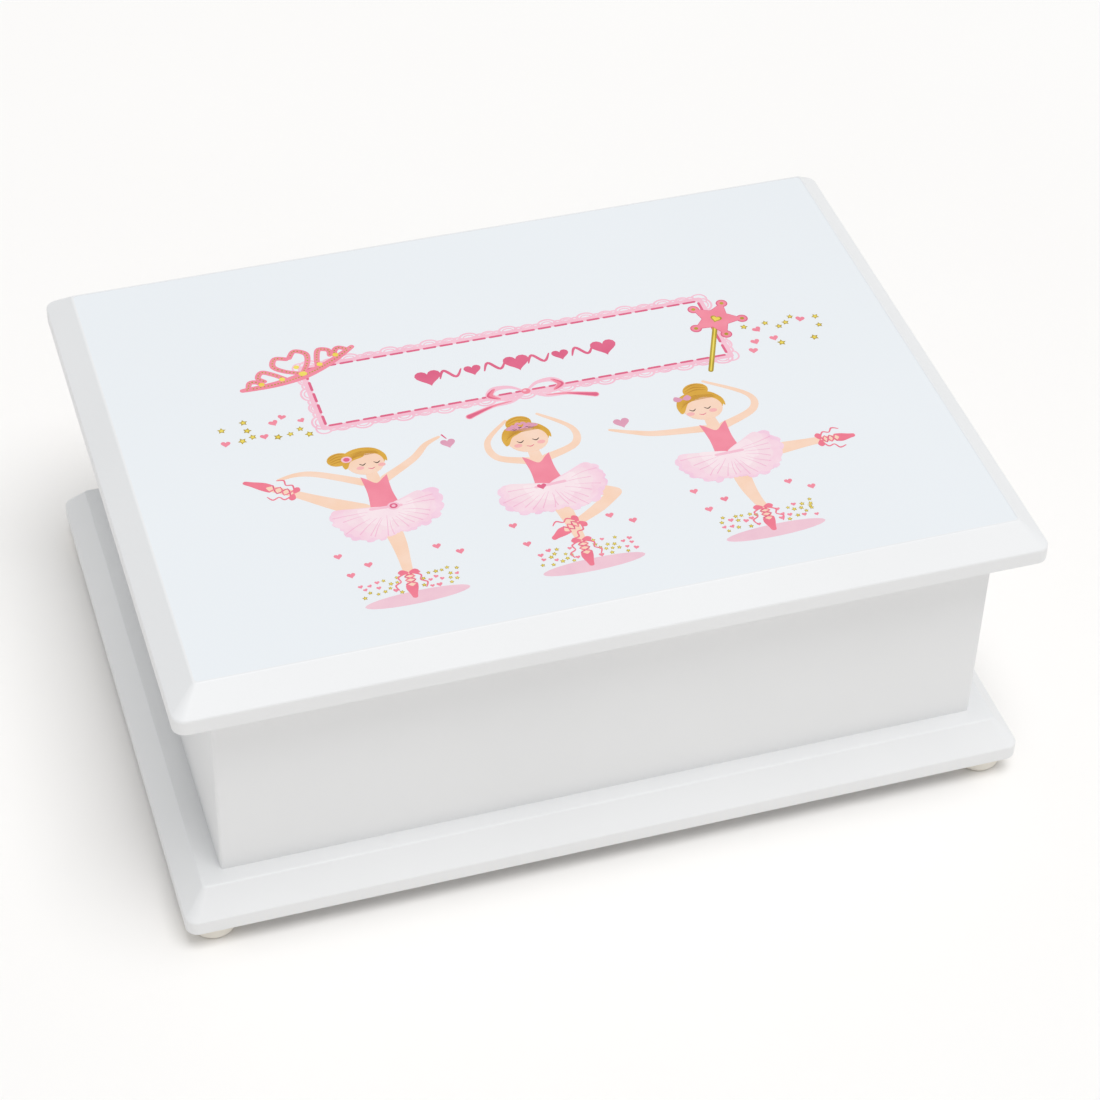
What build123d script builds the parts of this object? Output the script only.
"""Ballerina jewellery box: a painted board case with a hinged lid, a lined interior, a wind-up
musical movement under a deck, and a spring-mounted dancer that stands up as the lid opens.

Millimetres, +Z up, +X to the right, +Y to the back. The origin is the centre of the footprint,
on the surface that the feet stand on. The box is modelled closed.
"""

import os
from math import cos, degrees, pi, radians, sin

from build123d import *

# ---- driving dimensions ----------------------------------------------------------------------
LID_L, LID_D = 240.0, 180.0  # lid board, length and depth
LID_EDGE, LID_BEVEL_H, LID_BEVEL_W = 5.0, 6.0, 7.0
BASE_L, BASE_D = 242.0, 180.0  # base board
BASE_EDGE, BASE_BEVEL_H, BASE_BEVEL_W = 4.8, 7.2, 6.0
BOARD_CORNER_R = 3.5  # plan radius of the board corners
EASE_OUTER, EASE_TOP = 0.8, 0.6  # sanded edges at the foot and the top of the bevels
EASE_UNDER = 0.5  # chamfer round the underside

WALL_L, WALL_D = 218.0, 158.0  # outside of the four walls
WALL_T = 9.0
WALL_H = 64.0
LID_GAP = 0.5  # gap over the walls, held by the bumpers

FOOT_D, FOOT_H = 13.0, 6.0
FOOT_INSET = 2.0  # from the edges of the base board
FOOT_TREAD_R = 2.2  # rounding where the foot meets the table

LINING_T = 0.8
DIVIDER_T = 3.0
DIVIDER_TOP = 76.0
WELL_HALF_W = 40.0  # half width of the middle bay
WELL_FRONT_Y = -19.0  # back face of the divider between ring bay and music bay
DECK_Z, DECK_T = 43.0, 3.0

HINGE_L, HINGE_X = 32.0, 62.0
HINGE_BARREL_R, HINGE_PIN_R = 1.9, 0.9
HINGE_OFFSET_Y, HINGE_DROP_Z = 2.4, 2.0  # axis behind the back wall and below the lid
HINGE_LEAF_T = 1.0
HINGE_KNUCKLES = 5
HINGE_KNUCKLE_GAP = 0.2
HINGE_SCREW_STEP, HINGE_SCREW_Z = 11.0, 70.5
HINGE_SCREW_R, HINGE_SCREW_HEAD_R = 0.9, 1.65

PRINT_T = 0.25
MIRROR_L, MIRROR_D, MIRROR_T = 122.0, 86.0, 1.2
MIRROR_COVER = 2.0  # overlap of the lining over the mirror's edge
PAD_L, PAD_D, PAD_T = 196.0, 136.0, 2.5

SPINDLE_Y = 46.0  # barrel, key and dancer share this vertical axis at x = 0
KEY_RECESS_R = 15.0
PLATE_T = 3.0
CYL_AXIS_Z = 28.5  # height of the pinned cylinder's axis
CYL_R, CYL_START_X, CYL_LEN = 5.0, 15.2, 14.8

CROWN_TEETH, CROWN_R = 40, 12.0
PINION_TEETH = 10
CROWN_MODULE = 2 * CROWN_R / CROWN_TEETH
WHEEL_TEETH, WHEEL_MODULE = 30, 0.4
WORM_WHEEL_TEETH, WORM_MODULE = 16, 0.5
WORM_R = 1.2  # pitch radius

SPRING_R, SPRING_BORE_R = 3.0, 2.2
BEND_STEP = 30.0  # each of the three spring bends when the lid is shut
BEND_PITCH = 5.0  # distance between the bends
BEND_Z = 56.3  # height of the first bend
BEND_CLEAR = 0.95  # half the gap between neighbouring lengths of spring
PEG_R, PEG_L = 1.5, 4.6

RUN = 0.05  # radial running clearance

# ---- worked-out positions --------------------------------------------------------------------
base_z = FOOT_H
floor_z = base_z + BASE_EDGE + BASE_BEVEL_H
lid_z = floor_z + WALL_H
wall_top_z = lid_z - LID_GAP
top_z = lid_z + LID_EDGE + LID_BEVEL_H
wall_x, wall_y = WALL_L / 2, WALL_D / 2
in_x, in_y = wall_x - WALL_T, wall_y - WALL_T
hinge_y = wall_y + HINGE_OFFSET_Y
hinge_z = lid_z - HINGE_DROP_Z
plate_z = floor_z + PLATE_T
pinion_r = CROWN_MODULE * PINION_TEETH / 2
crown_pitch_z = CYL_AXIS_Z - pinion_r
wheel_r = WHEEL_MODULE * WHEEL_TEETH / 2
small_pinion_r = WHEEL_MODULE * PINION_TEETH / 2
idler_y = SPINDLE_Y + wheel_r + small_pinion_r
worm_wheel_r = WORM_MODULE * WORM_WHEEL_TEETH / 2
fan_y = idler_y + worm_wheel_r + WORM_R
wheel_x = CYL_START_X + CYL_LEN + 0.4
bracket_x = wheel_x + 1.7
fan_x = bracket_x + 2.7
worm_pitch = pi * WORM_MODULE
deck_top = DECK_Z + DECK_T
lining_floor = floor_z + LINING_T

os.makedirs("parts", exist_ok=True)


def save(piece, name):
    """Label a finished piece and write its STEP file."""
    piece.part.label = name
    export_step(piece.part, f"parts/{name}.step")


def ring(count, start=0.0):
    """Angles of evenly spaced positions round a full turn, in degrees."""
    return [start + 360.0 * k / count for k in range(count)]


def gear_outline(teeth, module, start=0.0, addendum=0.8, dedendum=1.1, thickness=0.34):
    """Points of a slim-toothed spur gear, one tooth centred on the start angle."""
    pitch_r = module * teeth / 2
    tip_r, root_r = pitch_r + addendum * module, pitch_r - dedendum * module
    root_half = degrees(thickness * pi * module * 1.25 / 2 / root_r)
    tip_half = degrees(thickness * pi * module * 0.62 / 2 / tip_r)
    points = []
    for angle in ring(teeth, start):
        points.append((root_r, angle - root_half))
        points.append((tip_r, angle - tip_half))
        points.append((tip_r, angle + tip_half))
        points.append((root_r, angle + root_half))
    return [(radius * cos(radians(angle)), radius * sin(radians(angle))) for radius, angle in points]


# ---- case ------------------------------------------------------------------------------------
key_hole = (0, SPINDLE_Y)
screw_spots = [(x, s * (wall_y - WALL_T / 2)) for x in (-78, 0, 78) for s in (-1, 1)]
screw_spots += [(s * (wall_x - WALL_T / 2), y) for s in (-1, 1) for y in (-36, 36)]
SCREW_R, SCREW_HEAD_R, SCREW_LEN = 1.6, 3.1, 30.0
SCREW_SINK = 3.0  # depth of the countersunk head
SLOT_L, SLOT_W, SLOT_DEEP = 3.6, 0.8, 1.0  # arms of the cross slot
brad_heights = [floor_z + 8, floor_z + 24.8, floor_z + 50]
BRAD_R, BRAD_LEN = 0.8, 24.0
brad_x = wall_x - WALL_T / 2
hinge_screw_x = [s * HINGE_X + k * HINGE_SCREW_STEP for s in (-1, 1) for k in (-1, 0, 1)]
body_screw_spots = [(x, HINGE_SCREW_Z) for x in hinge_screw_x]
lid_screw_spots = [(x, hinge_y + 4.9) for x in hinge_screw_x]
BODY_SCREW_L, LID_SCREW_L = 7.0, 6.0


def bevelled_board(length, depth, edge_h, bevel_h, bevel_w, bottom_z):
    """A board with a flat bottom, an upright edge and a wide mitred bevel up to its top."""
    bevel_z = bottom_z + edge_h
    with BuildPart() as board:
        with BuildSketch(Plane.XY.offset(bottom_z)):
            RectangleRounded(length, depth, BOARD_CORNER_R)
        extrude(amount=edge_h)
        with BuildSketch(Plane.XY.offset(bevel_z)):
            RectangleRounded(length, depth, BOARD_CORNER_R)
        with BuildSketch(Plane.XY.offset(bevel_z + bevel_h)):
            RectangleRounded(length - 2 * bevel_w, depth - 2 * bevel_w, 1.0)
        loft()
        chamfer(board.faces().sort_by(Axis.Z)[0].edges(), EASE_UNDER)
        fillet(board.edges().filter_by_position(Axis.Z, bevel_z - 0.01, bevel_z + 0.01), EASE_OUTER)
        fillet(board.faces().sort_by(Axis.Z)[-1].edges(), EASE_TOP)
    return board


with BuildPart() as base_board:
    add(bevelled_board(BASE_L, BASE_D, BASE_EDGE, BASE_BEVEL_H, BASE_BEVEL_W, base_z).part)
    with Locations((*key_hole, floor_z)):
        Hole(KEY_RECESS_R)
    with BuildSketch(Plane.XY.offset(base_z)):
        with Locations(*screw_spots):
            Circle(SCREW_R)
    extrude(amount=floor_z - base_z, mode=Mode.SUBTRACT)
    for spot in screw_spots:
        with Locations((*spot, base_z + SCREW_SINK / 2)):
            Cone(SCREW_HEAD_R, SCREW_R, SCREW_SINK, mode=Mode.SUBTRACT)
save(base_board, "base_board")

foot_x, foot_y = BASE_L / 2 - FOOT_INSET - FOOT_D / 2, BASE_D / 2 - FOOT_INSET - FOOT_D / 2
for side, sx in (("left", -1), ("right", 1)):
    for end, sy in (("front", -1), ("back", 1)):
        with BuildPart() as foot:
            with Locations((sx * foot_x, sy * foot_y, FOOT_H / 2)):
                Cylinder(FOOT_D / 2, FOOT_H)
            fillet(foot.edges().filter_by(GeomType.CIRCLE).sort_by(Axis.Z)[0], FOOT_TREAD_R)
        save(foot, f"foot_{end}_{side}")


def wall_holes():
    """Bores for all the brads and base screws."""
    with BuildPart(mode=Mode.PRIVATE) as bores:
        for corner_x in (-1, 1):
            for corner_y in (-1, 1):
                for z in brad_heights:
                    mouth = Plane((corner_x * brad_x, corner_y * wall_y, z), z_dir=(0, -corner_y, 0))
                    with BuildSketch(mouth):
                        Circle(BRAD_R)
                    extrude(amount=BRAD_LEN)
        for spot in screw_spots:
            with BuildSketch(Plane(origin=(*spot, base_z))):
                Circle(SCREW_R)
            extrude(amount=SCREW_LEN)
    return bores.part


walls = (("front_wall", 0, -1), ("back_wall", 0, 1), ("left_wall", -1, 0), ("right_wall", 1, 0))
for name, sx, sy in walls:
    with BuildPart() as wall:
        centre = (sx * (wall_x - WALL_T / 2), sy * (wall_y - WALL_T / 2), (floor_z + wall_top_z) / 2)
        with Locations(centre):
            if sy:
                Box(WALL_L, WALL_T, wall_top_z - floor_z)
            else:
                Box(WALL_T, WALL_D - 2 * WALL_T, wall_top_z - floor_z)
        if sy:
            outer = wall.faces().sort_by(Axis.Y)[-1 if sy > 0 else 0]
            fillet(outer.edges().filter_by(Axis.Z), 1.0)
        add(wall_holes(), mode=Mode.SUBTRACT)
        if name == "back_wall":
            with BuildSketch(Plane.XZ.offset(-wall_y)):
                with Locations(*body_screw_spots):
                    Circle(HINGE_SCREW_R)
            extrude(amount=BODY_SCREW_L - HINGE_LEAF_T, mode=Mode.SUBTRACT)
    save(wall, name)

with BuildPart() as corner_brads:
    for corner_x in (-1, 1):
        for corner_y in (-1, 1):
            for z in brad_heights:
                with BuildSketch(Plane((corner_x * brad_x, corner_y * wall_y, z), z_dir=(0, -corner_y, 0))):
                    Circle(BRAD_R)
                extrude(amount=BRAD_LEN)
save(corner_brads, "corner_brads")

with BuildPart() as base_screws:
    for spot in screw_spots:
        with BuildSketch(Plane(origin=(*spot, base_z))):
            Circle(SCREW_R)
        extrude(amount=SCREW_LEN)
        with Locations((*spot, base_z + SCREW_SINK / 2)):
            Cone(SCREW_HEAD_R, SCREW_R, SCREW_SINK)
        with Locations((*spot, base_z + SLOT_DEEP / 2)):
            Box(SLOT_L, SLOT_W, SLOT_DEEP, mode=Mode.SUBTRACT)
            Box(SLOT_W, SLOT_L, SLOT_DEEP, mode=Mode.SUBTRACT)
save(base_screws, "base_screws")

BUMPER_X, BUMPER_R, BUMPER_H = 92.0, 3.0, 0.44
with BuildPart() as lid_bumpers:
    for x in (-BUMPER_X, BUMPER_X):
        with Locations((x, -wall_y + WALL_T / 2, wall_top_z + BUMPER_H / 2)):
            Cylinder(BUMPER_R, BUMPER_H)
save(lid_bumpers, "lid_bumpers")

# ---- hinges ----------------------------------------------------------------------------------
knuckle_l = HINGE_L / HINGE_KNUCKLES
LEAF_SETBACK = 0.35  # notch clearance round the other leaf's knuckles
LEAF_LOW_Z, LEAF_BACK = 64.0, 7.5  # foot of the body leaf; reach of the lid leaf behind the axis
BODY_TAB, LID_TAB = 3.4, 3.0  # tabs that join the knuckles to their leaves


def knuckle_centres(first):
    """Positions along the hinge of every second knuckle, from the first-th."""
    return [-HINGE_L / 2 + knuckle_l * (k + 0.5) for k in range(first, HINGE_KNUCKLES, 2)]


def hinge_screws(plane, spots, length):
    """Countersunk screws driven along the plane's normal, flush with the plane."""
    with BuildPart(mode=Mode.PRIVATE) as row:
        with BuildSketch(plane):
            with Locations(*spots):
                Circle(HINGE_SCREW_R)
        extrude(amount=length)
        with BuildSketch(plane):
            with Locations(*spots):
                Circle(HINGE_SCREW_HEAD_R)
        extrude(amount=HINGE_SCREW_HEAD_R - HINGE_SCREW_R, taper=45)
    return row.part


for side, sx in (("left", -1), ("right", 1)):
    cx = sx * HINGE_X
    with BuildPart() as body_leaf:
        leaf_top_z = hinge_z - HINGE_BARREL_R - LEAF_SETBACK
        with Locations((cx, wall_y + HINGE_LEAF_T / 2, (LEAF_LOW_Z + leaf_top_z) / 2)):
            Box(HINGE_L, HINGE_LEAF_T, leaf_top_z - LEAF_LOW_Z)
        for offset in knuckle_centres(0):
            width = knuckle_l - HINGE_KNUCKLE_GAP
            with BuildSketch(Plane.YZ.offset(cx + offset - width / 2)):
                with Locations((hinge_y, hinge_z)):
                    Circle(HINGE_BARREL_R)
                with Locations((wall_y + HINGE_LEAF_T / 2, hinge_z - BODY_TAB / 2)):
                    Rectangle(HINGE_LEAF_T, BODY_TAB)
            extrude(amount=width)
        with BuildSketch(Plane.YZ.offset(cx - HINGE_L / 2)):
            with Locations((hinge_y, hinge_z)):
                Circle(HINGE_PIN_R)
        extrude(amount=HINGE_L, mode=Mode.SUBTRACT)
        screw_plane = Plane.XZ.offset(-wall_y - HINGE_LEAF_T)
        add(hinge_screws(screw_plane, body_screw_spots, BODY_SCREW_L), mode=Mode.SUBTRACT)
    save(body_leaf, f"hinge_body_leaf_{side}")

    with BuildPart() as lid_leaf:
        near_y, far_y = hinge_y + HINGE_BARREL_R + LEAF_SETBACK, hinge_y + LEAF_BACK
        with Locations((cx, (near_y + far_y) / 2, lid_z - HINGE_LEAF_T / 2)):
            Box(HINGE_L, far_y - near_y, HINGE_LEAF_T)
        for offset in knuckle_centres(1):
            width = knuckle_l - HINGE_KNUCKLE_GAP
            with BuildSketch(Plane.YZ.offset(cx + offset - width / 2)):
                with Locations((hinge_y, hinge_z)):
                    Circle(HINGE_BARREL_R)
                with Locations((hinge_y + LID_TAB / 2, lid_z - HINGE_LEAF_T / 2)):
                    Rectangle(LID_TAB, HINGE_LEAF_T)
            extrude(amount=width)
        with BuildSketch(Plane.YZ.offset(cx - HINGE_L / 2)):
            with Locations((hinge_y, hinge_z)):
                Circle(HINGE_PIN_R + RUN)
        extrude(amount=HINGE_L, mode=Mode.SUBTRACT)
        screw_plane = Plane.XY.offset(lid_z - HINGE_LEAF_T)
        add(hinge_screws(screw_plane, lid_screw_spots, LID_SCREW_L), mode=Mode.SUBTRACT)
    save(lid_leaf, f"hinge_lid_leaf_{side}")

with BuildPart() as hinge_pins:
    for sx in (-1, 1):
        with BuildSketch(Plane.YZ.offset(sx * HINGE_X - HINGE_L / 2)):
            with Locations((hinge_y, hinge_z)):
                Circle(HINGE_PIN_R)
        extrude(amount=HINGE_L)
save(hinge_pins, "hinge_pins")

with BuildPart() as hinge_body_screws:
    add(hinge_screws(Plane.XZ.offset(-wall_y - HINGE_LEAF_T), body_screw_spots, BODY_SCREW_L))
save(hinge_body_screws, "hinge_body_screws")

with BuildPart() as hinge_lid_screws:
    add(hinge_screws(Plane.XY.offset(lid_z - HINGE_LEAF_T), lid_screw_spots, LID_SCREW_L))
save(hinge_lid_screws, "hinge_lid_screws")

# ---- lid -------------------------------------------------------------------------------------
PRINT_MARGIN, PRINT_CORNER_R = 0.5, 1.0  # bare edge round the printed sheet
PRINT_L = LID_L - 2 * LID_BEVEL_W - 2 * PRINT_MARGIN
PRINT_D = LID_D - 2 * LID_BEVEL_W - 2 * PRINT_MARGIN
with BuildPart() as lid_board:
    add(bevelled_board(LID_L, LID_D, LID_EDGE, LID_BEVEL_H, LID_BEVEL_W, lid_z).part)
    with BuildSketch(Plane.XY.offset(top_z - PRINT_T)):
        RectangleRounded(PRINT_L, PRINT_D, PRINT_CORNER_R)
    extrude(amount=PRINT_T, mode=Mode.SUBTRACT)
    with BuildSketch(Plane.XY.offset(lid_z)):
        with Locations(*lid_screw_spots):
            Circle(HINGE_SCREW_R)
    extrude(amount=LID_SCREW_L - HINGE_LEAF_T, mode=Mode.SUBTRACT)
save(lid_board, "lid_board")

with BuildPart() as lid_print:
    with BuildSketch(Plane.XY.offset(top_z - PRINT_T)):
        RectangleRounded(PRINT_L, PRINT_D, PRINT_CORNER_R)
    extrude(amount=PRINT_T)
save(lid_print, "lid_print")

with BuildPart() as mirror:
    with Locations((0, 0, lid_z - MIRROR_T / 2)):
        Box(MIRROR_L, MIRROR_D, MIRROR_T)
save(mirror, "mirror")

with BuildPart() as lid_lining:
    with BuildSketch(Plane.XY.offset(lid_z - PAD_T)):
        RectangleRounded(PAD_L, PAD_D, 4.0)
        RectangleRounded(MIRROR_L - 2 * MIRROR_COVER, MIRROR_D - 2 * MIRROR_COVER, 2.0, mode=Mode.SUBTRACT)
    extrude(amount=PAD_T)
    with Locations((0, 0, lid_z - MIRROR_T / 2)):
        Box(MIRROR_L, MIRROR_D, MIRROR_T, mode=Mode.SUBTRACT)
save(lid_lining, "lid_lining")

# ---- interior --------------------------------------------------------------------------------
divider_z, divider_h = (floor_z + DIVIDER_TOP) / 2, DIVIDER_TOP - floor_z
divider_x = WELL_HALF_W + DIVIDER_T / 2
for name, sx in (("divider_left", -1), ("divider_right", 1)):
    with BuildPart() as divider:
        with Locations((sx * divider_x, 0, divider_z)):
            Box(DIVIDER_T, 2 * in_y, divider_h)
    save(divider, name)

ring_back_y = WELL_FRONT_Y - DIVIDER_T
with BuildPart() as divider_front:
    with Locations((0, WELL_FRONT_Y - DIVIDER_T / 2, divider_z)):
        Box(2 * WELL_HALF_W, DIVIDER_T, divider_h)
save(divider_front, "divider_front")


def tray(x_low, x_high, y_low, y_high, z_low, holes=()):
    """A thin open-topped lining that covers one bay's floor and walls up to the divider tops."""
    with BuildPart() as lining:
        centre = ((x_low + x_high) / 2, (y_low + y_high) / 2, (z_low + DIVIDER_TOP) / 2)
        with Locations(centre):
            Box(x_high - x_low, y_high - y_low, DIVIDER_TOP - z_low)
        with Locations((centre[0], centre[1], centre[2] + LINING_T)):
            Box(x_high - x_low - 2 * LINING_T, y_high - y_low - 2 * LINING_T, DIVIDER_TOP - z_low,
                mode=Mode.SUBTRACT)
        for x, y, radius in holes:
            with Locations((x, y, z_low)):
                Cylinder(radius, 4.0, mode=Mode.SUBTRACT)
    return lining


bay_x = WELL_HALF_W + DIVIDER_T
PLUNGER_X, PLUNGER_Y, PLUNGER_R = 26.0, 61.5, 1.2
deck_holes = [(0, SPINDLE_Y, 2.6), (PLUNGER_X, PLUNGER_Y, PLUNGER_R + 0.4)]
save(tray(-in_x, -bay_x, -in_y, in_y, floor_z), "lining_left")
save(tray(bay_x, in_x, -in_y, in_y, floor_z), "lining_right")
save(tray(-WELL_HALF_W, WELL_HALF_W, -in_y, ring_back_y, floor_z), "lining_ring")
save(tray(-WELL_HALF_W, WELL_HALF_W, WELL_FRONT_Y, in_y, deck_top, deck_holes), "lining_music")

RAIL_W, RAIL_BACK_Y = 4.0, 47.0
with BuildPart() as deck_rails:
    for sx in (-1, 1):
        rail_x, rail_y = sx * (WELL_HALF_W - RAIL_W / 2), (WELL_FRONT_Y + RAIL_BACK_Y) / 2
        with Locations((rail_x, rail_y, DECK_Z - RAIL_W / 2)):
            Box(RAIL_W, RAIL_BACK_Y - WELL_FRONT_Y, RAIL_W)
save(deck_rails, "deck_rails")

with BuildPart() as deck_panel:
    with Locations((0, (WELL_FRONT_Y + in_y) / 2, DECK_Z + DECK_T / 2)):
        Box(2 * WELL_HALF_W, in_y - WELL_FRONT_Y, DECK_T)
    for x, y, radius in deck_holes:
        with Locations((x, y, DECK_Z + DECK_T / 2)):
            Cylinder(radius, DECK_T, mode=Mode.SUBTRACT)
save(deck_panel, "deck_panel")

RING_FOAM_TOP, ROLL_R, ROLL_PITCH, ROLLS = 40.0, 5.6, 11.4, 4
FOAM_GAP, ROLL_GAP = 0.2, 0.6  # to the lining at the sides and at the ends
ring_mid_y = (-in_y + ring_back_y) / 2
with BuildPart() as ring_foam:
    with Locations((0, ring_mid_y, (lining_floor + RING_FOAM_TOP) / 2)):
        foam_l = 2 * (WELL_HALF_W - LINING_T - FOAM_GAP)
        foam_d = ring_back_y + in_y - 2 * (LINING_T + FOAM_GAP)
        Box(foam_l, foam_d, RING_FOAM_TOP - lining_floor)
save(ring_foam, "ring_foam")

for k in range(ROLLS):
    with BuildPart() as roll:
        roll_y = ring_mid_y + (k - (ROLLS - 1) / 2) * ROLL_PITCH
        with BuildSketch(Plane.YZ.offset(-WELL_HALF_W + LINING_T + ROLL_GAP)):
            with Locations((roll_y, RING_FOAM_TOP + ROLL_R)):
                Circle(ROLL_R)
        extrude(amount=2 * (WELL_HALF_W - LINING_T - ROLL_GAP))
    save(roll, f"ring_roll_{k + 1}")

# ---- musical movement: fixed parts -----------------------------------------------------------
PLATE_X = (-20.0, 38.6)
PLATE_Y = (22.0, 66.0)
plate_screws = [(-16, 26), (-16, 62), (34, 26), (19, 62)]
comb_screws_at = [(18.5, 24.0), (26.5, 24.0)]
COMB_T, COMB_BACK, COMB_FRONT = 1.0, 22.2, 28.0  # the solid back of the comb, in y
COMB_TOOTH_GAP, COMB_OVERLAP = 0.24, 0.2  # gap between teeth; how far they start inside the back
COMB_SCREW_R, PLATE_SCREW_R = 0.9, 1.3
COMB_BLOCK_X, COMB_BLOCK_Y = (14.8, 30.2), (22.2, 27.6)
GUIDE_R, GUIDE_H = 2.6, 8.0  # boss that guides the stop plunger
comb_tip_y = SPINDLE_Y - CYL_R - 0.75
COMB_TEETH = 18
comb_z = CYL_AXIS_Z - COMB_T / 2
ARBOR_R, PIVOT_R = 2.0, 0.6

with BuildPart() as bedplate:
    with BuildSketch(Plane.XY.offset(floor_z)):
        with Locations(((PLATE_X[0] + PLATE_X[1]) / 2, (PLATE_Y[0] + PLATE_Y[1]) / 2)):
            RectangleRounded(PLATE_X[1] - PLATE_X[0], PLATE_Y[1] - PLATE_Y[0], 3.0)
        with Locations(*plate_screws):
            Circle(PLATE_SCREW_R, mode=Mode.SUBTRACT)
        with Locations(key_hole):
            Circle(ARBOR_R + RUN, mode=Mode.SUBTRACT)
        with Locations((fan_x, fan_y)):
            Circle(PIVOT_R + RUN, mode=Mode.SUBTRACT)
        with Locations((PLUNGER_X, PLUNGER_Y)):
            Circle(PLUNGER_R + RUN, mode=Mode.SUBTRACT)
    extrude(amount=PLATE_T)
    with BuildSketch(Plane.XY.offset(plate_z)):
        with Locations((sum(COMB_BLOCK_X) / 2, sum(COMB_BLOCK_Y) / 2)):
            Rectangle(COMB_BLOCK_X[1] - COMB_BLOCK_X[0], COMB_BLOCK_Y[1] - COMB_BLOCK_Y[0])
        with Locations(*comb_screws_at):
            Circle(COMB_SCREW_R, mode=Mode.SUBTRACT)
    extrude(amount=comb_z - plate_z)
    with BuildSketch(Plane.XY.offset(plate_z)):
        with Locations((PLUNGER_X, PLUNGER_Y)):
            Circle(GUIDE_R)
            Circle(PLUNGER_R + RUN, mode=Mode.SUBTRACT)
    extrude(amount=GUIDE_H)
save(bedplate, "bedplate")

PLATE_HEAD_R, PLATE_HEAD_H, COMB_HEAD_R, COMB_HEAD_H = 2.4, 1.6, 2.0, 1.4
COMB_SCREW_FOOT = 2.0  # how far over the plate the comb screws end
HEAD_SLOT_DEEP = 0.2
SLOT_CUT = 0.8  # height of the box that cuts each slot
with BuildPart() as movement_screws:
    with BuildSketch(Plane.XY.offset(floor_z)):
        with Locations(*plate_screws):
            Circle(PLATE_SCREW_R)
    extrude(amount=PLATE_T)
    with BuildSketch(Plane.XY.offset(plate_z)):
        with Locations(*plate_screws):
            Circle(PLATE_HEAD_R)
    extrude(amount=PLATE_HEAD_H)
    with BuildSketch(Plane.XY.offset(plate_z + COMB_SCREW_FOOT)):
        with Locations(*comb_screws_at):
            Circle(COMB_SCREW_R)
    extrude(amount=comb_z + COMB_T - plate_z - COMB_SCREW_FOOT)
    with BuildSketch(Plane.XY.offset(comb_z + COMB_T)):
        with Locations(*comb_screws_at):
            Circle(COMB_HEAD_R)
    extrude(amount=COMB_HEAD_H)
    for x, y in plate_screws:
        with Locations((x, y, plate_z + PLATE_HEAD_H - HEAD_SLOT_DEEP)):
            Box(1.5 * PLATE_HEAD_R, 0.7, SLOT_CUT, mode=Mode.SUBTRACT)
    for x, y in comb_screws_at:
        with Locations((x, y, comb_z + COMB_T + COMB_HEAD_H - HEAD_SLOT_DEEP)):
            Box(1.6 * COMB_HEAD_R, 0.6, SLOT_CUT, mode=Mode.SUBTRACT)
save(movement_screws, "movement_screws")

tooth_pitch = CYL_LEN / COMB_TEETH
tooth_root_y = COMB_FRONT - COMB_OVERLAP
with BuildPart() as comb:
    with BuildSketch(Plane.XY.offset(comb_z)):
        with Locations((CYL_START_X + CYL_LEN / 2, (COMB_BACK + COMB_FRONT) / 2)):
            Rectangle(CYL_LEN + 0.4, COMB_FRONT - COMB_BACK)
        with Locations(*comb_screws_at):
            Circle(COMB_SCREW_R, mode=Mode.SUBTRACT)
        for k in range(COMB_TEETH):
            with Locations((CYL_START_X + tooth_pitch * (k + 0.5), (tooth_root_y + comb_tip_y) / 2)):
                Rectangle(tooth_pitch - COMB_TOOTH_GAP, comb_tip_y - tooth_root_y)
    extrude(amount=COMB_T)
save(comb, "comb")

inner_bracket_x = CYL_START_X - 1.5
CYL_PIVOT_R = 0.9
BRACKET_W, INNER_BRACKET_T, OUTER_BRACKET_T = 5.0, 1.0, 1.2
with BuildPart() as cylinder_brackets:
    with BuildSketch(Plane.YZ.offset(inner_bracket_x)):
        with Locations((SPINDLE_Y, (plate_z + CYL_AXIS_Z) / 2)):
            Rectangle(BRACKET_W, CYL_AXIS_Z - plate_z)
        with Locations((SPINDLE_Y, CYL_AXIS_Z)):
            Circle(BRACKET_W / 2)
            Circle(CYL_PIVOT_R + RUN, mode=Mode.SUBTRACT)
    extrude(amount=INNER_BRACKET_T)
    with BuildSketch(Plane.YZ.offset(bracket_x)):
        with Locations(((SPINDLE_Y + idler_y) / 2, (plate_z + CYL_AXIS_Z) / 2)):
            Rectangle(idler_y - SPINDLE_Y + BRACKET_W, CYL_AXIS_Z - plate_z)
        with Locations(((SPINDLE_Y + idler_y) / 2, CYL_AXIS_Z)):
            SlotCenterToCenter(idler_y - SPINDLE_Y, BRACKET_W)
        for y, radius in ((SPINDLE_Y, CYL_PIVOT_R), (idler_y, PIVOT_R)):
            with Locations((y, CYL_AXIS_Z)):
                Circle(radius + RUN, mode=Mode.SUBTRACT)
    extrude(amount=OUTER_BRACKET_T)
save(cylinder_brackets, "cylinder_brackets")

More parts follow.
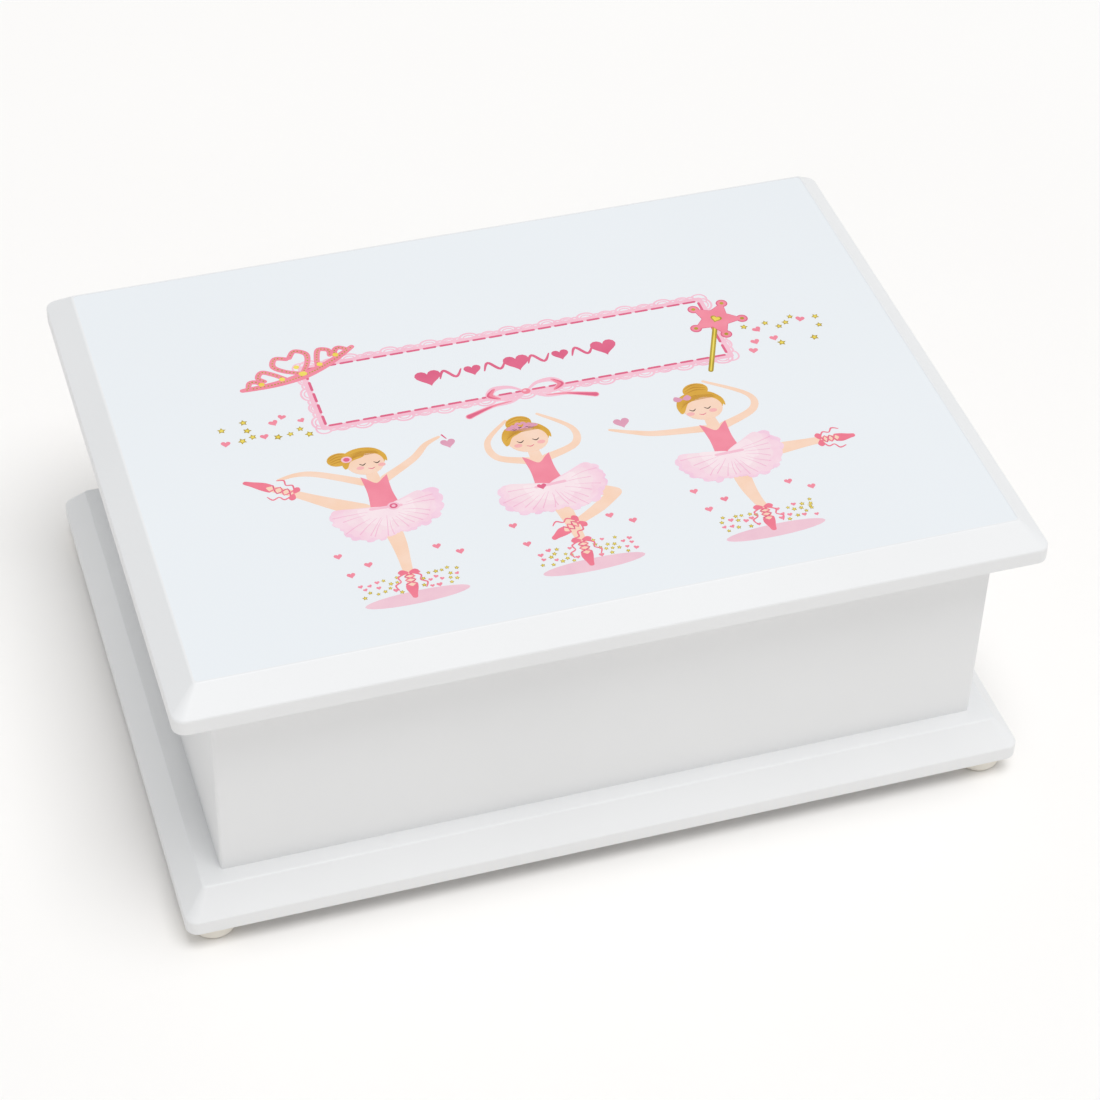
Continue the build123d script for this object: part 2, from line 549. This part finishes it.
FAN_Z, FAN_H, FAN_R = 34.8, 4.2, 3.8
cock_z = FAN_Z + FAN_H + 1.0
cheek_x = fan_x + 1.5
CHEEK_T, CHEEK_TOP, CHEEK_FRONT = 1.2, 33.5, 3.0  # the cheek starts this far in front of its pivot
POST_X, POST_T, POST_BACK_Y = 30.6, 1.8, 65.6
COCK_T, COCK_W, COCK_FRONT_Y = 1.0, 4.4, 57.4
cheek_front_y = idler_y - CHEEK_FRONT
cheek_mid_x = cheek_x + CHEEK_T / 2
post_end_x = cheek_x + CHEEK_T
with BuildPart() as governor_bracket:
    with Locations((cheek_mid_x, (cheek_front_y + POST_BACK_Y) / 2, (plate_z + CHEEK_TOP) / 2)):
        Box(CHEEK_T, POST_BACK_Y - cheek_front_y, CHEEK_TOP - plate_z)
    with Locations(((POST_X + post_end_x) / 2, POST_BACK_Y - POST_T / 2, (plate_z + cock_z + COCK_T) / 2)):
        Box(post_end_x - POST_X, POST_T, cock_z + COCK_T - plate_z)
    with Locations((fan_x, (COCK_FRONT_Y + POST_BACK_Y) / 2, cock_z + COCK_T / 2)):
        Box(COCK_W, POST_BACK_Y - COCK_FRONT_Y, COCK_T)
    with Locations((fan_x, fan_y, cock_z + COCK_T / 2)):
        Cylinder(PIVOT_R + RUN, COCK_T, mode=Mode.SUBTRACT)
    with Locations((cheek_mid_x, idler_y, CYL_AXIS_Z)):
        Cylinder(PIVOT_R + RUN, CHEEK_T, rotation=(0, 90, 0), mode=Mode.SUBTRACT)
save(governor_bracket, "governor_bracket")

# ---- musical movement: spring barrel, arbor and key ------------------------------------------
BARREL_R, BARREL_WALL, BARREL_Z, BARREL_TOP = 9.4, 0.9, plate_z + 0.6, 33.6
CROWN_RIM_OUT, CROWN_RIM_IN, BARREL_FLOOR_T = 1.2, 1.4, 1.4  # rim to either side of the pitch circle
CROWN_TOOTH_L, CROWN_TOOTH_W, CROWN_TOOTH_SINK = 2.2, 0.55, 0.2
ring_top = crown_pitch_z - 0.9
tooth_top = crown_pitch_z + 0.5
with BuildPart() as spring_barrel:
    with BuildSketch(Plane.XY.offset(BARREL_Z)):
        with Locations(key_hole):
            Circle(CROWN_R + CROWN_RIM_OUT)
            Circle(ARBOR_R + RUN, mode=Mode.SUBTRACT)
    extrude(amount=BARREL_FLOOR_T)
    with BuildSketch(Plane.XY.offset(BARREL_Z)):
        with Locations(key_hole):
            Circle(CROWN_R + CROWN_RIM_OUT)
            Circle(CROWN_R - CROWN_RIM_IN, mode=Mode.SUBTRACT)
    extrude(amount=ring_top - BARREL_Z)
    with BuildSketch(Plane.XY.offset(BARREL_Z)):
        with Locations(key_hole):
            Circle(BARREL_R)
            Circle(BARREL_R - BARREL_WALL, mode=Mode.SUBTRACT)
    extrude(amount=BARREL_TOP - BARREL_Z)
    with BuildSketch(Plane.XY.offset(ring_top - CROWN_TOOTH_SINK)):
        for angle in ring(CROWN_TEETH, 180 / CROWN_TEETH):
            spot = (CROWN_R * cos(radians(angle)), SPINDLE_Y + CROWN_R * sin(radians(angle)))
            with Locations(Location((spot[0], spot[1], 0), (0, 0, angle))):
                Rectangle(CROWN_TOOTH_L, CROWN_TOOTH_W)
    extrude(amount=tooth_top - ring_top + CROWN_TOOTH_SINK)
save(spring_barrel, "spring_barrel")

COVER_T, SPINDLE_R = 1.2, 1.5
COVER_HUB_R, COVER_HUB_H = 3.2, 2.5
SPINDLE_SINK = 0.6  # how far into the cover the spindle's seat starts
with BuildPart() as barrel_cover:
    with BuildSketch(Plane.XY.offset(BARREL_TOP)):
        with Locations(key_hole):
            Circle(BARREL_R)
    extrude(amount=COVER_T)
    with BuildSketch(Plane.XY.offset(BARREL_TOP + COVER_T)):
        with Locations(key_hole):
            Circle(COVER_HUB_R)
    extrude(amount=COVER_HUB_H)
    with BuildSketch(Plane.XY.offset(BARREL_TOP + SPINDLE_SINK)):
        with Locations(key_hole):
            Circle(SPINDLE_R)
    extrude(amount=COVER_T + COVER_HUB_H, mode=Mode.SUBTRACT)
save(barrel_cover, "barrel_cover")

SPRING_TURNS, BAND_T = 5, 0.35
SPRING_IN_R, SPRING_MARGIN = 2.9, 0.7  # innermost turn; clearance inside the barrel wall
SPRING_LIFT, SPRING_BELOW_COVER = 1.9, 0.7
with BuildPart() as mainspring:
    with BuildSketch(Plane.XY.offset(BARREL_Z + SPRING_LIFT)):
        with BuildLine():
            radius = SPRING_IN_R
            step = (BARREL_R - BARREL_WALL - SPRING_MARGIN - radius) / (2 * SPRING_TURNS)
            point = (radius, SPINDLE_Y)
            for half in range(2 * SPRING_TURNS):
                diameter = 2 * radius + step
                sign = -1 if half % 2 == 0 else 1
                target = (point[0] + sign * diameter, SPINDLE_Y)
                middle = ((point[0] + target[0]) / 2, SPINDLE_Y - sign * diameter / 2)
                ThreePointArc(point, middle, target)
                point, radius = target, radius + step
        trace(line_width=BAND_T)
    extrude(amount=BARREL_TOP - BARREL_Z - SPRING_LIFT - SPRING_BELOW_COVER)
save(mainspring, "mainspring")

KEY_BOTTOM, KEY_TOP = 2.0, floor_z - 1.2
KEY_GRIP = 6.0  # how far the arbor goes into the key
ARBOR_GAP = 0.3  # under the barrel's cover
with BuildPart() as winding_arbor:
    with BuildSketch(Plane.XY.offset(KEY_TOP - KEY_GRIP)):
        with Locations(key_hole):
            Circle(ARBOR_R)
    extrude(amount=BARREL_TOP - ARBOR_GAP - KEY_TOP + KEY_GRIP)
save(winding_arbor, "winding_arbor")

WING_L, WING_T, WING_H = 20.0, 2.2, 9.0
WING_RIM, WING_WEB = 2.4, 6.0  # width of metal round the wing holes; side of the web between them
HUB_R, HUB_LIFT = 3.4, 3.0
with BuildPart() as winding_key:
    with BuildSketch(Plane.XY.offset(KEY_BOTTOM + HUB_LIFT)):
        with Locations(key_hole):
            Circle(HUB_R)
    extrude(amount=KEY_TOP - KEY_BOTTOM - HUB_LIFT)
    with BuildSketch(Plane.XZ.offset(-SPINDLE_Y - WING_T / 2)):
        for sx in (-1, 1):
            with Locations((sx * (WING_L / 2 - WING_H / 2), KEY_BOTTOM + WING_H / 2)):
                Circle(WING_H / 2)
                Circle(WING_H / 2 - WING_RIM, mode=Mode.SUBTRACT)
        with Locations((0, KEY_BOTTOM + WING_H / 2)):
            Rectangle(WING_WEB, WING_WEB)
    extrude(amount=WING_T)
    with BuildSketch(Plane.XY.offset(KEY_TOP - KEY_GRIP)):
        with Locations(key_hole):
            Circle(ARBOR_R)
    extrude(amount=KEY_GRIP, mode=Mode.SUBTRACT)
save(winding_key, "winding_key")

# ---- musical movement: cylinder, idler and fan -----------------------------------------------
PIN_R, PIN_H, PIN_SINK = 0.22, 0.55, 0.4
PINS_PER_TOOTH = 4
PIVOT_REACH = 3.2  # of the cylinder's arbor past the inner bracket
cylinder_end = bracket_x + OUTER_BRACKET_T
with BuildPart() as pinned_cylinder:
    with BuildSketch(Plane.YZ.offset(CYL_START_X)):
        with Locations((SPINDLE_Y, CYL_AXIS_Z)):
            Circle(CYL_R)
    extrude(amount=CYL_LEN)
    with BuildSketch(Plane.YZ.offset(inner_bracket_x - PIVOT_REACH)):
        with Locations((SPINDLE_Y, CYL_AXIS_Z)):
            Circle(CYL_PIVOT_R)
    extrude(amount=cylinder_end - inner_bracket_x + PIVOT_REACH)
    for k in range(COMB_TEETH):
        for turn in range(PINS_PER_TOOTH):
            angle = (k * 137.5 + turn * 83.0 + (k * turn % 5) * 9.0) % 360
            pin_plane = Plane(
                (CYL_START_X + tooth_pitch * (k + 0.5), SPINDLE_Y, CYL_AXIS_Z),
                z_dir=(0, cos(radians(angle)), sin(radians(angle))),
            )
            with BuildSketch(pin_plane.offset(CYL_R - PIN_SINK)):
                Circle(PIN_R)
            extrude(amount=PIN_SINK + PIN_H)
save(pinned_cylinder, "pinned_cylinder")

PINION_L, PINION_LAP = 2.3, 1.2  # the pinion starts this far inside the crown's pitch circle
WHEEL_T, WHEEL_LAP = 1.0, 0.1
with BuildPart() as cylinder_pinion:
    with BuildSketch(Plane.YZ.offset(CROWN_R - PINION_LAP)):
        with Locations((SPINDLE_Y, CYL_AXIS_Z)):
            Polygon(*gear_outline(PINION_TEETH, CROWN_MODULE, -90.0))
            Circle(CYL_PIVOT_R, mode=Mode.SUBTRACT)
    extrude(amount=PINION_L)
save(cylinder_pinion, "cylinder_pinion")

with BuildPart() as cylinder_wheel:
    with BuildSketch(Plane.YZ.offset(wheel_x)):
        with Locations((SPINDLE_Y, CYL_AXIS_Z)):
            Polygon(*gear_outline(WHEEL_TEETH, WHEEL_MODULE))
            Circle(CYL_PIVOT_R, mode=Mode.SUBTRACT)
    extrude(amount=WHEEL_T)
save(cylinder_wheel, "cylinder_wheel")

IDLER_REACH = 0.5  # of the idler's arbor past its pinion
with BuildPart() as governor_wheel:
    with BuildSketch(Plane.YZ.offset(wheel_x - WHEEL_LAP)):
        with Locations((idler_y, CYL_AXIS_Z)):
            Polygon(*gear_outline(PINION_TEETH, WHEEL_MODULE, 180 / PINION_TEETH))
    extrude(amount=WHEEL_T + 2 * WHEEL_LAP)
    with BuildSketch(Plane.YZ.offset(fan_x - WHEEL_T / 2)):
        with Locations((idler_y, CYL_AXIS_Z)):
            Polygon(*gear_outline(WORM_WHEEL_TEETH, WORM_MODULE, thickness=0.28))
    extrude(amount=WHEEL_T)
    with BuildSketch(Plane.YZ.offset(wheel_x - IDLER_REACH)):
        with Locations((idler_y, CYL_AXIS_Z)):
            Circle(PIVOT_R)
    extrude(amount=post_end_x - wheel_x + IDLER_REACH)
save(governor_wheel, "governor_wheel")

WORM_TURNS, WORM_CORE_R, WORM_COLLAR = 6.5, 0.75, 0.6
THREAD_W, THREAD_SINK = 0.36, 0.3  # the thread's helix runs this far inside the pitch radius
FAN_T, FAN_HUB_R = 0.5, 1.1
FAN_FOOT, FAN_TIP = 1.0, 0.8  # ends of the spindle, over the floor and into the cock
worm_length = worm_pitch * WORM_TURNS
worm_low = CYL_AXIS_Z - worm_length / 2
with BuildPart() as fan_spindle:
    with BuildSketch(Plane.XY.offset(floor_z + FAN_FOOT)):
        with Locations((fan_x, fan_y)):
            Circle(PIVOT_R)
    extrude(amount=cock_z + FAN_TIP - floor_z - FAN_FOOT)
    with BuildSketch(Plane.XY.offset(worm_low - WORM_COLLAR)):
        with Locations((fan_x, fan_y)):
            Circle(WORM_CORE_R)
    extrude(amount=worm_length + 2 * WORM_COLLAR)
    with BuildLine(Plane((fan_x, fan_y, worm_low))) as thread_path:
        Helix(worm_pitch, worm_length, WORM_R - THREAD_SINK)
    with BuildSketch(Plane(thread_path.line @ 0, z_dir=thread_path.line % 0)):
        Rectangle(THREAD_W, THREAD_W)
    sweep(path=thread_path.line, is_frenet=True)
    with Locations((fan_x, fan_y, FAN_Z + FAN_H / 2)):
        Box(2 * FAN_R, FAN_T, FAN_H)
        Cylinder(FAN_HUB_R, FAN_H)
save(fan_spindle, "fan_spindle")

# ---- stop plunger: pushed down by the lid's lining -------------------------------------------
PLUNGER_GAP, PLUNGER_FOOT, PLUNGER_SINK = 0.1, 0.5, 1.0
KNOB_R, KNOB_H, KNOB_EASE = 2.4, 2.2, 1.4
FINGER_T, FINGER_LIFT, FINGER_GAP, FINGER_ARM_W = 1.2, 2.4, 0.35, 1.6
plunger_top = lid_z - PAD_T - PLUNGER_GAP
finger_z = FAN_Z + FINGER_LIFT
finger_end = fan_x - FAN_R - FINGER_GAP
with BuildPart() as stop_plunger:
    with BuildSketch(Plane.XY.offset(floor_z + PLUNGER_FOOT)):
        with Locations((PLUNGER_X, PLUNGER_Y)):
            Circle(PLUNGER_R)
    extrude(amount=plunger_top - floor_z - PLUNGER_FOOT - PLUNGER_SINK)
    with BuildSketch(Plane.XY.offset(plunger_top - KNOB_H)):
        with Locations((PLUNGER_X, PLUNGER_Y)):
            Circle(KNOB_R)
    extrude(amount=KNOB_H)
    fillet(stop_plunger.edges().filter_by(GeomType.CIRCLE).sort_by(Axis.Z)[-1], KNOB_EASE)
    with Locations(((PLUNGER_X + finger_end) / 2, fan_y, finger_z)):
        Box(finger_end - PLUNGER_X, FINGER_T, FINGER_T)
    with Locations((PLUNGER_X, (PLUNGER_Y + fan_y) / 2, finger_z)):
        Box(FINGER_ARM_W, abs(PLUNGER_Y - fan_y) + FINGER_T, FINGER_T)
save(stop_plunger, "stop_plunger")

# ---- dancer: spindle, bending spring, socket and figure --------------------------------------
SPINDLE_OVER_DECK = 6.0
with BuildPart() as dancer_spindle:
    with BuildSketch(Plane.XY.offset(BARREL_TOP + SPINDLE_SINK)):
        with Locations(key_hole):
            Circle(SPINDLE_R)
    extrude(amount=deck_top + LINING_T + SPINDLE_OVER_DECK - BARREL_TOP - SPINDLE_SINK)
save(dancer_spindle, "dancer_spindle")


def bend_point(number):
    """Centre of one of the spring's three bends, from the first to the third."""
    y, z = SPINDLE_Y, BEND_Z
    for k in range(1, number):
        y -= BEND_PITCH * sin(radians(BEND_STEP * k))
        z += BEND_PITCH * cos(radians(BEND_STEP * k))
    return y, z


def spring_plane(number):
    """Plane at a bend, its normal along the length of spring that follows the bend."""
    y, z = bend_point(number)
    lean = radians(BEND_STEP * number)
    return Plane((0, y, z), x_dir=(1, 0, 0), z_dir=(0, -sin(lean), cos(lean)))


SPRING_LIFT_OFF, SPRING_GRIP = 1.2, 3.0  # over the lining; length gripped by the spindle
spring_foot = deck_top + LINING_T + SPRING_LIFT_OFF
for name, plane, length in (
    ("dancer_spring_base", Plane((0, SPINDLE_Y, spring_foot)), BEND_Z - BEND_CLEAR - spring_foot),
    ("dancer_spring_lower", spring_plane(1).offset(BEND_CLEAR), BEND_PITCH - 2 * BEND_CLEAR),
    ("dancer_spring_upper", spring_plane(2).offset(BEND_CLEAR), BEND_PITCH - 2 * BEND_CLEAR),
):
    with BuildPart() as coil:
        with BuildSketch(plane):
            Circle(SPRING_R)
            Circle(SPRING_BORE_R, mode=Mode.SUBTRACT)
        extrude(amount=length)
        if name == "dancer_spring_base":
            with BuildSketch(plane):
                Circle(SPRING_BORE_R)
                Circle(SPINDLE_R, mode=Mode.SUBTRACT)
            extrude(amount=SPRING_GRIP)
    save(coil, name)

SOCKET_L, SOCKET_R, SOCKET_COLLAR, SOCKET_FLOOR = 6.6, 3.3, 1.0, 1.4
SPIN_GAP = 0.3  # between the socket and the figure's stand
socket_plane = spring_plane(3).offset(BEND_CLEAR)
with BuildPart() as dancer_socket:
    with BuildSketch(socket_plane):
        Circle(SPRING_R)
    extrude(amount=SOCKET_COLLAR)
    with BuildSketch(socket_plane.offset(SOCKET_COLLAR)):
        Circle(SOCKET_R)
    extrude(amount=SOCKET_L - SOCKET_COLLAR)
    with BuildSketch(socket_plane.offset(SOCKET_FLOOR)):
        Circle(PEG_R + RUN)
    extrude(amount=SOCKET_L, mode=Mode.SUBTRACT)
save(dancer_socket, "dancer_socket")

figure_plane = socket_plane.offset(SOCKET_L + SPIN_GAP)


def limb(points, radii):
    """A chain of tapered round limbs joined by balls."""
    joints = list(zip(points, radii))
    with BuildPart(mode=Mode.PRIVATE) as chain:
        for (start, r_start), (end, r_end) in zip(joints, joints[1:]):
            direction = Vector(*end) - Vector(*start)
            with BuildSketch(Plane(start, z_dir=direction)):
                Circle(r_start)
            with BuildSketch(Plane(end, z_dir=direction)):
                Circle(r_end)
            loft()
        for point, radius in joints:
            with Locations(point):
                Sphere(radius)
    return chain.part


STAND_R, STAND_H = 2.0, 0.9
HEAD_R, HEAD_Z, BUN_R, BUN_Y, BUN_Z = 2.8, 37.0, 1.4, 0.9, 40.2
WAIST_R = 3.2  # of the part of the body that the tutu fits round
with BuildPart() as figure_upright:
    with BuildSketch(Plane.XY.offset(-PEG_L)):
        Circle(PEG_R)
    extrude(amount=PEG_L + 0.8)
    Cylinder(STAND_R, STAND_H, align=(Align.CENTER, Align.CENTER, Align.MIN))
    add(limb([(0, 0, 1.0), (0, 0, 10.0), (1.2, 0, 20.0)], [0.9, 1.5, 2.1]))
    add(limb([(-1.2, 0, 20.0), (-7.4, -1.6, 17.2), (-1.2, -0.6, 10.4)], [2.1, 1.5, 0.8]))
    add(limb([(0, 0, 20.0), (0, 0, 24.6), (0, 0, 29.6), (0, 0, 31.0)], [3.0, 2.1, 2.9, 2.2]))
    add(limb([(0, 0, 31.0), (0, 0, 34.6)], [1.3, 1.0]))
    add(limb([(2.8, 0, 30.6), (5.6, -0.4, 35.4), (1.4, -0.8, 43.6)], [1.0, 0.8, 0.6]))
    add(limb([(-2.8, 0, 30.6), (-5.6, -0.4, 35.4), (-1.4, -0.8, 43.6)], [1.0, 0.8, 0.6]))
    with Locations((0, 0, HEAD_Z)):
        Sphere(HEAD_R)
    with Locations((0, BUN_Y, BUN_Z)):
        Sphere(BUN_R)

TUTU_R, TUTU_T, TUTU_Z = 13.0, 1.8, 22.2
with BuildPart() as figure:
    add(figure_plane.location * figure_upright.part)
    with BuildSketch(figure_plane.offset(TUTU_Z)):
        Circle(WAIST_R)
    extrude(amount=TUTU_T)
save(figure, "figure")

with BuildPart() as tutu:
    with BuildSketch(figure_plane.offset(TUTU_Z)):
        Circle(TUTU_R)
        Circle(WAIST_R, mode=Mode.SUBTRACT)
    extrude(amount=TUTU_T)
save(tutu, "tutu")
